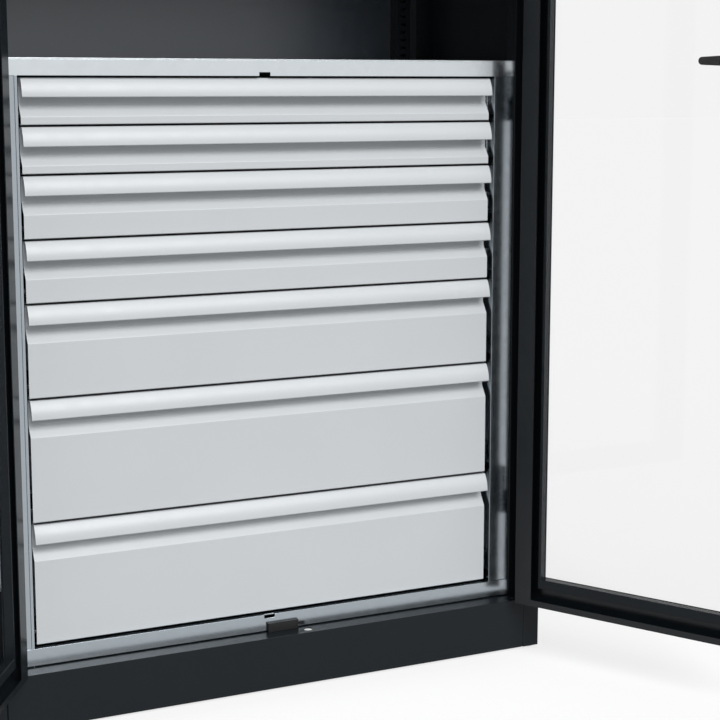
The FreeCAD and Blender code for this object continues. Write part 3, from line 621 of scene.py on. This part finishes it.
@dataclass
class DrawerFront:
    """A rolled front: a bulging handle rail, a finger recess behind it, a slope and a flat face."""

    number: int
    sheet: float = 0.0015
    handle_drop: float = 0.030
    handle_bulge: float = 0.010
    handle_lead: float = 0.002
    undercut_height: float = 0.011
    slope_height: float = 0.019
    fold_depth: float = 0.009
    hem_depth: float = 0.004
    hem_radius: float = 0.0016
    top_radius: float = 0.006
    rear_radius: float = 0.003
    cove_radius: float = 0.007
    crease_radius: float = 0.0015
    fold_radius: float = 0.0007
    arc_steps: int = 14
    bend_segments: int = 6
    tolerance: float = 0.00001

    def build(self) -> bpy.types.Object:
        """Rolls the front out of one sheet.

        Returns:
            The piece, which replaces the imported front.
        """
        node = f"drawer_{self.number}_front"
        low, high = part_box(node)
        recess_floor = high.z - self.handle_drop - self.undercut_height
        slope_foot = recess_floor - self.slope_height
        flat_rear = low.y + self.handle_bulge + self.handle_lead + self.sheet
        fold_top = low.z + self.sheet
        lip = (low.y, high.z - self.handle_drop)
        crown = (low.y + self.handle_bulge, high.z)

        shape = bmesh.new()
        start = shape.verts.new((low.x, *lip))
        end = self.roll_handle(shape, start)
        self.follow(shape, start, [(low.y + self.hem_depth, lip[1])])
        back = [(high.y, high.z), (high.y, recess_floor), (flat_rear, slope_foot), (flat_rear, fold_top)]
        self.follow(shape, end, back + [(flat_rear - self.sheet + self.fold_depth, fold_top)])
        self.widen(shape, high.x - low.x)
        radii = (self.rear_radius, self.cove_radius, self.crease_radius, self.fold_radius)
        for place, radius in [(lip, self.hem_radius), (crown, self.top_radius), *zip(back, radii)]:
            self.round_bend(shape, place, radius)
        self.thicken(shape)
        piece = settle(shape, f"{node}_rolled", f"drawer_{self.number}", LIGHT_GREY)
        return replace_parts(piece, node)

    def roll_handle(self, shape: bmesh.types.BMesh, start: bmesh.types.BMVert) -> bmesh.types.BMVert:
        """Draws the handle's curve upwards from its lower edge.

        Args:
            shape: The section so far.
            start: The handle's lower edge.

        Returns:
            The curve's upper end.
        """
        radius = (self.handle_bulge**2 + self.handle_drop**2) / (2 * self.handle_bulge)
        centre = start.co + Vector((0, radius, 0))
        rolled = bmesh.ops.spin(shape, geom=[start], cent=centre, axis=(1, 0, 0),
                                angle=-math.asin(self.handle_drop / radius), steps=self.arc_steps)
        return next(item for item in rolled["geom_last"] if isinstance(item, bmesh.types.BMVert))

    @staticmethod
    def follow(shape: bmesh.types.BMesh, vertex: bmesh.types.BMVert, places: list[Place]) -> None:
        """Draws the section on from a vertex.

        Args:
            shape: The section so far.
            vertex: The vertex that it goes on from.
            places: The next places.
        """
        for y, z in places:
            vertex = bmesh.ops.extrude_vert_indiv(shape, verts=[vertex])["verts"][0]
            vertex.co = (vertex.co.x, y, z)

    @staticmethod
    def widen(shape: bmesh.types.BMesh, width: float) -> None:
        """Draws the section out sideways, with its faces outwards.

        Args:
            shape: The section.
            width: The front's width.
        """
        drawn = bmesh.ops.extrude_edge_only(shape, edges=shape.edges[:])["geom"]
        moved = [item for item in drawn if isinstance(item, bmesh.types.BMVert)]
        bmesh.ops.translate(shape, verts=moved, vec=(width, 0, 0))
        bmesh.ops.recalc_face_normals(shape, faces=shape.faces[:])
        top = max(shape.faces, key=lambda face: face.calc_center_median().z)
        if top.normal.z < 0:
            bmesh.ops.reverse_faces(shape, faces=shape.faces[:])

    def round_bend(self, shape: bmesh.types.BMesh, place: Place, radius: float) -> None:
        """Rounds one bend that runs along the front.

        Args:
            shape: The bent sheet.
            place: The bend's place.
            radius: Its radius.
        """
        target = Vector(place)
        bend = [edge for edge in shape.edges
                if all((end.co.yz - target).length < self.tolerance for end in edge.verts)]
        rounded(shape, bend, radius * math.tan(bend[0].calc_face_angle() / 2), self.bend_segments)

    def thicken(self, shape: bmesh.types.BMesh) -> None:
        """Gives the sheet its thickness, on its inner side."""
        bmesh.ops.solidify(shape, geom=shape.faces[:], thickness=self.sheet)
        bmesh.ops.recalc_face_normals(shape, faces=shape.faces[:])


# ---------------------------------------------------------------- small fittings


@dataclass
class DoorStops:
    """Two moulded blocks that the closed doors rest against, and a small dark block of painted shade beside
    the lower one.
    """

    node: bpy.types.Object
    corner_radius: float = 0.002
    corner_share: float = 0.3
    corner_segments: int = 4
    edge_radius: float = 0.0007
    edge_share: float = 0.2
    edge_segments: int = 2
    # a small dark block that stands in for a mark of shade on the rail's face: painted shade
    shade_mark_gap: float = 0.001
    shade_mark_length: float = 0.012
    shade_mark_drop: float = 0.006
    shade_mark_height: float = 0.0022
    shade_mark_lead: float = 0.0008

    def build(self) -> None:
        """Makes the softened blocks and the small dark block of painted shade beside the lower one."""
        low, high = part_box("door_stops")
        middle = (low.z + high.z) / 2
        for name, is_lower in (("lower", True), ("upper", False)):
            ends = [vertex.co for vertex in self.node.data.vertices if (vertex.co.z < middle) is is_lower]
            corners = [Vector(pick(end[axis] for end in ends) for axis in range(3)) for pick in (min, max)]
            piece = settle(self.block(*corners), f"door_stop_{name}", "cabinet", BLACK_PLASTIC)
            if is_lower:
                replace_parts(piece, "door_stops")
                self.add_shade_mark(corners[1])

    def add_shade_mark(self, corner: Vector) -> None:
        """Adds the small dark block on the rail's face, beside the lower block; it stands in for a mark of
        shade there.

        Args:
            corner: The block's rear top right corner.
        """
        start = Vector((corner.x + self.shade_mark_gap, corner.y - self.shade_mark_lead,
                        corner.z - self.shade_mark_drop - self.shade_mark_height))
        size = Vector((self.shade_mark_length, self.shade_mark_lead, self.shade_mark_height))
        settle(self.block(start, start + size), "door_stop_shade_mark", "cabinet", BLACK_PLASTIC)

    def block(self, low: Vector, high: Vector) -> bmesh.types.BMesh:
        """Makes a moulded block between two corners, with its uprights and edges rounded.

        Args:
            low: Its lowest corner.
            high: Its highest corner.

        Returns:
            The shape.
        """
        size = high - low
        centre = (high + low) / 2
        shape = bmesh.new()
        bmesh.ops.create_cube(shape, size=1, matrix=Matrix.Translation(centre) @ Matrix.Diagonal((*size, 1)))
        uprights = [edge for edge in shape.edges if edge.verts[0].co.xy == edge.verts[1].co.xy]
        corner_offset = min(self.corner_radius, self.corner_share * min(size))
        edge_offset = min(self.edge_radius, self.edge_share * min(size))
        rounded(shape, uprights, corner_offset, self.corner_segments)
        rounded(shape, sharp_edges(shape, MOULDED_ANGLE), edge_offset, self.edge_segments)
        return shape


@dataclass
class LipRivets:
    """A small dark rivet near each end of the plinth's lip."""

    end_distance: float = 0.0158
    setback: float = 0.0116
    radius: float = 0.0026
    rise: float = 0.0007
    rim_share: float = 0.7
    rim_segments: int = 3
    segments: int = 20

    def build(self) -> None:
        """Sets a domed head on the lip at each end."""
        low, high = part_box("plinth_front")
        for side in Side:
            x = high.x - self.end_distance if side is Side.RIGHT else low.x + self.end_distance
            shape = bmesh.new()
            bmesh.ops.create_circle(shape, cap_ends=True, segments=self.segments, radius=self.radius,
                                    matrix=Matrix.Translation((x, low.y + self.setback, high.z)))
            drawn = bmesh.ops.extrude_face_region(shape, geom=shape.faces[:])["geom"]
            head = [item for item in drawn if isinstance(item, bmesh.types.BMVert)]
            bmesh.ops.translate(shape, verts=head, vec=(0, 0, self.rise))
            bmesh.ops.recalc_face_normals(shape, faces=shape.faces[:])
            rim = [edge for edge in sharp_edges(shape) if all(end.co.z > high.z for end in edge.verts)]
            rounded(shape, rim, self.rise * self.rim_share, self.rim_segments)
            settle(shape, f"lip_rivet_{side.value}", "cabinet", BLACK_PLASTIC)


@dataclass
class Lever:
    """The lock's moulded lever: a round boss and a grip that narrows towards its end."""

    node: bpy.types.Object
    joint: dict
    boss_radius: float = 0.0145
    boss_height: float = 0.005
    boss_taper: float = 0.94
    boss_edge_share: float = 0.3
    boss_edge_segments: int = 3
    hub_radius: float = 0.0115
    tip_radius: float = 0.0065
    reach: float = 0.1035
    thickness: float = 0.009
    edge_radius: float = 0.0028
    edge_segments: int = 4
    segments: int = 40

    def build(self) -> None:
        """Moulds the lever on its joint's axis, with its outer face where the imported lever's is."""
        anchor, out = Vector(self.joint["pos_m"]), Vector(self.joint["axis"]).normalized()
        towards_hinge = Vector((-out.y, out.x, 0))
        turned = Matrix((towards_hinge, out.cross(towards_hinge), out)).transposed().to_4x4()
        outer = max((vertex.co - anchor).dot(out) for vertex in self.node.data.vertices)
        frame = Matrix.Translation(anchor + out * outer) @ turned
        self.boss(frame)
        self.grip(frame)

    def boss(self, frame: Matrix) -> None:
        """Makes the round boss under the grip.

        Args:
            frame: The lever's place and turn, from its axis in the outer face.
        """
        base = self.thickness + self.boss_height
        shape = bmesh.new()
        place = frame @ Matrix.Translation((0, 0, self.boss_height / 2 - base))
        bmesh.ops.create_cone(shape, cap_ends=True, segments=self.segments, radius1=self.boss_radius,
                              radius2=self.boss_radius * self.boss_taper, depth=self.boss_height,
                              matrix=place)
        edge_offset = self.edge_radius * self.boss_edge_share
        rounded(shape, sharp_edges(shape), edge_offset, self.boss_edge_segments)
        settle(shape, "lock_lever_boss", "lever", BLACK_PLASTIC)

    def grip(self, frame: Matrix) -> None:
        """Makes the grip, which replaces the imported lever.

        Args:
            frame: The lever's place and turn, from its axis in the outer face.
        """
        shape = bmesh.new()
        for radius, along in ((self.hub_radius, 0.0), (self.tip_radius, self.reach)):
            place = frame @ Matrix.Translation((along, 0, -self.thickness / 2))
            bmesh.ops.create_cone(shape, cap_ends=True, segments=self.segments, radius1=radius,
                                  radius2=radius, depth=self.thickness, matrix=place)
        hull = bmesh.ops.convex_hull(shape, input=shape.verts[:])
        spare = [item for item in hull["geom_interior"] + hull["geom_unused"] if item.is_valid]
        bmesh.ops.delete(shape, geom=[item for item in spare if isinstance(item, bmesh.types.BMVert)],
                         context="VERTS")
        join_flat_faces(shape)
        rounded(shape, sharp_edges(shape, MOULDED_ANGLE), self.edge_radius, self.edge_segments)
        piece = settle(shape, "lock_lever_grip", "lever", BLACK_PLASTIC)
        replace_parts(piece, "lock_handle")


# ---------------------------------------------------------------- the whole cabinet

MOULDED_NODES = ("door_stops", "lock_handle")
# how the names of the hinge leaves and of the drawers' runners end
HARDWARE_ENDINGS = ("_leaves", "_runners")


@dataclass
class Cabinet:
    """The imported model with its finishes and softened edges."""

    nodes: dict[str, bpy.types.Object]
    joints: list[dict]

    def build(self) -> None:
        """Dresses every node and adds the drawn pieces."""
        for name, node in self.nodes.items():
            finish = self.finish_of(name)
            finish.coat(node)
            press = self.press_of(name)
            if press is not None:
                press.soften(node, finish)
        for number in range(1, DRAWER_COUNT + 1):
            DrawerFront(number).build()
        DoorStops(self.nodes["door_stops"]).build()
        LipRivets().build()
        turn = next(joint for joint in self.joints if joint["name"] == "lock_lever_turn")
        Lever(self.nodes["lock_handle"], turn).build()

    @staticmethod
    def press_of(name: str) -> Press | None:
        """How one node's edges are softened, or None where it is drawn anew or stays as it is.

        Args:
            name: The node's name.

        Returns:
            Its press.
        """
        if name.endswith(("_front", "_window")) and name != "plinth_front":
            return None
        if name in MOULDED_NODES:
            return None
        if name.endswith(HARDWARE_ENDINGS):
            return HARDWARE_PRESS
        if name.startswith(("hinge_", "lock_", "levelling", "slide_", "runner_", "shelf_clips")):
            return HARDWARE_PRESS
        if name.startswith(("door_", "drawer_")):
            return THIN_PRESS
        return CARCASS_PRESS

    @staticmethod
    def finish_of(name: str) -> Finish:
        """The finish of one node.

        Args:
            name: The node's name.

        Returns:
            Its finish.
        """
        if name.endswith("_window"):
            return PANE
        # painted reflection: the back wall takes a lighter copy of the anthracite
        if name == "back_wall":
            return SMOOTH_ANTHRACITE_PAINTED_LIGHTER
        if name.endswith("_skin"):
            return DOOR_ANTHRACITE
        if name in MOULDED_NODES:
            return BLACK_PLASTIC
        if name.startswith(("lock_", "hinge_", "runner_rails", "slide_")):
            return ZINC
        if name.endswith(HARDWARE_ENDINGS):
            return ZINC
        # painted shade: the rail and the block sides take the darker copy of the galvanised sheet
        if name.startswith(("block_side", "block_bottom_rail")):
            return GALVANISED_PAINTED_DARKER
        if name.startswith(("shelves", "shelf_clips", "block_", "levelling")):
            return GALVANISED
        if name.startswith("drawer_"):
            return LIGHT_GREY
        return ANTHRACITE


# ---------------------------------------------------------------- studio


@dataclass
class Studio:
    """A pale floor, a soft sky and one broad soft lamp."""

    sky: float = 0.42
    backdrop: float = 1.0
    lamp: float = 2.22
    lamp_height: float = 35.0
    lamp_turn: float = 7.0
    lamp_spread: float = 34.0
    lamp_distance: float = 6.0
    floor_half: float = 40.0
    floor_tone: float = 0.42
    floor_glow: float = 0.66

    def build(self) -> None:
        """Sets the sky, the lamp and the floor."""
        self.set_sky()
        self.set_lamp()
        self.lay_floor()
        bpy.context.scene.view_settings.view_transform = "Standard"

    def set_sky(self) -> None:
        """Makes a white background that lights the cabinet less strongly than it is seen."""
        world = bpy.data.worlds.new("studio_sky")
        bpy.context.scene.world = world
        world.use_nodes = True
        tree = world.node_tree
        tree.nodes.clear()
        output = tree.nodes.new("ShaderNodeOutputWorld")
        light = tree.nodes.new("ShaderNodeBackground")
        light.inputs["Color"].default_value = (*WHITE, 1)
        light.inputs["Strength"].default_value = self.sky
        white = tree.nodes.new("ShaderNodeBackground")
        white.inputs["Color"].default_value = (*WHITE, 1)
        white.inputs["Strength"].default_value = self.backdrop
        mixed = tree.nodes.new("ShaderNodeMixShader")
        tree.links.new(self.seen_directly(tree), mixed.inputs[0])
        tree.links.new(light.outputs[0], mixed.inputs[1])
        tree.links.new(white.outputs[0], mixed.inputs[2])
        tree.links.new(mixed.outputs[0], output.inputs["Surface"])

    @staticmethod
    def seen_directly(tree: bpy.types.NodeTree) -> bpy.types.NodeSocket:
        """Whether the background is seen straight, in a reflection or through a pane.

        Args:
            tree: The node tree that asks.

        Returns:
            1 where it is, and 0 where it only lights a surface.
        """
        path = tree.nodes.new("ShaderNodeLightPath")
        seen = path.outputs["Is Camera Ray"]
        for other in ("Is Glossy Ray", "Is Transmission Ray"):
            either = tree.nodes.new("ShaderNodeMath")
            either.operation = "MAXIMUM"
            tree.links.new(seen, either.inputs[0])
            tree.links.new(path.outputs[other], either.inputs[1])
            seen = either.outputs[0]
        return seen

    def set_lamp(self) -> None:
        """Hangs the broad lamp above and in front."""
        lamp = bpy.data.lights.new("broad_lamp", "SUN")
        lamp.energy = self.lamp
        lamp.angle = math.radians(self.lamp_spread)
        hung = bpy.data.objects.new("broad_lamp", lamp)
        height, turn = math.radians(self.lamp_height), math.radians(self.lamp_turn)
        level = math.cos(height)
        towards = Vector((math.sin(turn) * level, -math.cos(turn) * level, math.sin(height)))
        hung.rotation_mode = "QUATERNION"
        hung.rotation_quaternion = towards.to_track_quat("Z", "Y")
        hung.location = towards * self.lamp_distance
        bpy.context.scene.collection.objects.link(hung)

    def lay_floor(self) -> None:
        """Lays the floor that keeps the cabinet's shadow."""
        shape = bmesh.new()
        bmesh.ops.create_grid(shape, x_segments=1, y_segments=1, size=self.floor_half)
        mesh = bpy.data.meshes.new("studio_floor")
        shape.to_mesh(mesh)
        shape.free()
        floor = bpy.data.objects.new("studio_floor", mesh)
        bpy.context.scene.collection.objects.link(floor)
        graph = Graph("studio_floor_white")
        matt = graph.add("BsdfDiffuse")
        matt.inputs["Color"].default_value = (self.floor_tone, self.floor_tone, self.floor_tone, 1)
        glow = graph.add("Emission")
        lift = graph.add("Math", operation="MULTIPLY")
        lift.inputs[1].default_value = self.floor_glow
        graph.join(self.seen_directly(graph.material.node_tree), lift.inputs[0])
        graph.join(lift.outputs[0], glow.inputs["Strength"])
        both = graph.add("AddShader")
        graph.join(matt.outputs[0], both.inputs[0])
        graph.join(glow.outputs[0], both.inputs[1])
        graph.join(both.outputs[0], graph.output.inputs["Surface"])
        mesh.materials.append(graph.material)


@dataclass
class Camera:
    """A camera in front of the left half, looking across to the right and a little down."""

    place: Point = (-0.9795, -2.6499, 1.0113)
    turn: float = 25.046
    tilt: float = 8.488
    lens: float = 80.016
    shift: Pair = (0.0, -0.05)
    sensor: float = 36.0
    nearest: float = 0.05
    farthest: float = 200.0

    def build(self) -> None:
        """Sets up the camera."""
        data = bpy.data.cameras.new("picture_camera")
        data.lens = self.lens
        data.sensor_width = self.sensor
        data.shift_x, data.shift_y = self.shift
        data.clip_start, data.clip_end = self.nearest, self.farthest
        camera = bpy.data.objects.new("picture_camera", data)
        camera.location = self.place
        camera.rotation_euler = (math.radians(90 - self.tilt), 0, math.radians(-self.turn))
        bpy.context.scene.collection.objects.link(camera)
        bpy.context.scene.camera = camera


def main() -> None:
    """Loads the model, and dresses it."""
    logging.basicConfig(format="%(name)s %(message)s")
    log.setLevel(logging.INFO)
    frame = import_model()
    Camera().build()
    Studio().build()
    Cabinet(frame["nodes"], frame["joints"]).build()


if __name__ == "__main__":
    main()
